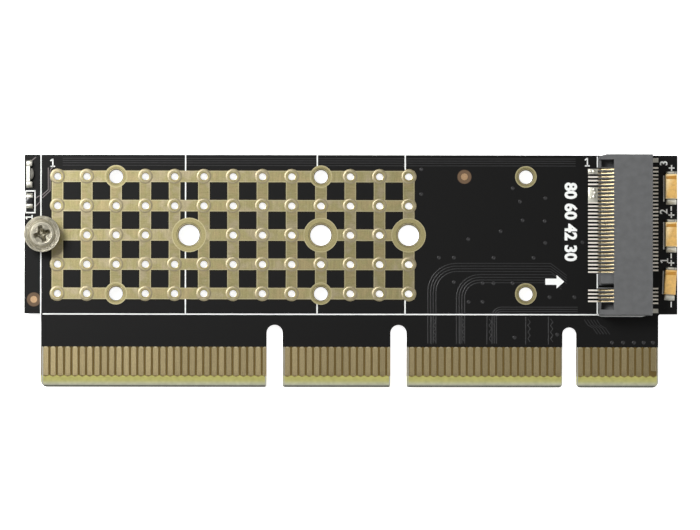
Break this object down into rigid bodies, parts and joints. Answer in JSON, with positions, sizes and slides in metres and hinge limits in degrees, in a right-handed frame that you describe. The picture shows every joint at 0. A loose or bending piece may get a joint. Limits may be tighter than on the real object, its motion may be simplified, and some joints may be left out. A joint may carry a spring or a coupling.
{
  "type": "nvme adapter card",
  "caption": "Flat adapter card with an edge connector, a module socket, a copper heat grid full of vias and a screwed spacer.",
  "frame": {"origin": "middle of the card's outline, on the surface that it lies on (the rear screw's head)", "axes": "+X along the card towards the module socket, +Y away from the edge connector, +Z out of the component side"},
  "size_m": [0.0892, 0.0318, 0.007],
  "materials": {
    "solder_mask": "satin black mask on glass-epoxy laminate, bare copper grid",
    "gold_plate": "satin gold plating",
    "bare_copper": "matte",
    "socket_plastic": "moulded, fine matte",
    "tin_plate": "satin tin",
    "solder": "satin solder",
    "nickel_steel": "turned, nickel-plated",
    "nickel_brass": "turned, nickel-plated",
    "lamp_white": "matte white",
    "lamp_lens": "clear dark resin",
    "resistor_black": "glossy glaze",
    "capacitor_orange": "satin moulded resin"
  },
  "bodies": {
    "root": {"circuit_board": "solder_mask", "edge_contacts_front": "gold_plate", "edge_contacts_back": "gold_plate", "fiducial_dots": "bare_copper", "socket_housing": "socket_plastic", "socket_contacts_lower": "tin_plate", "socket_contacts_upper": "tin_plate", "socket_hold_downs": "tin_plate", "supply_pads": "solder", "standoff_spacer": "nickel_brass", "module_screw": "nickel_steel", "spacer_screw": "nickel_steel", "led_base": "lamp_white", "led_terminals": "tin_plate", "led_lens": "lamp_lens", "resistor_body": "resistor_black", "resistor_terminals": "tin_plate", "solder_fillets": "solder", "capacitor_case_1": "capacitor_orange", "capacitor_terminals_1": "tin_plate", "capacitor_solder_1": "solder", "capacitor_case_2": "capacitor_orange", "capacitor_terminals_2": "tin_plate", "capacitor_solder_2": "solder", "capacitor_case_3": "capacitor_orange", "capacitor_terminals_3": "tin_plate", "capacitor_solder_3": "solder"}
  },
  "joints": []
}
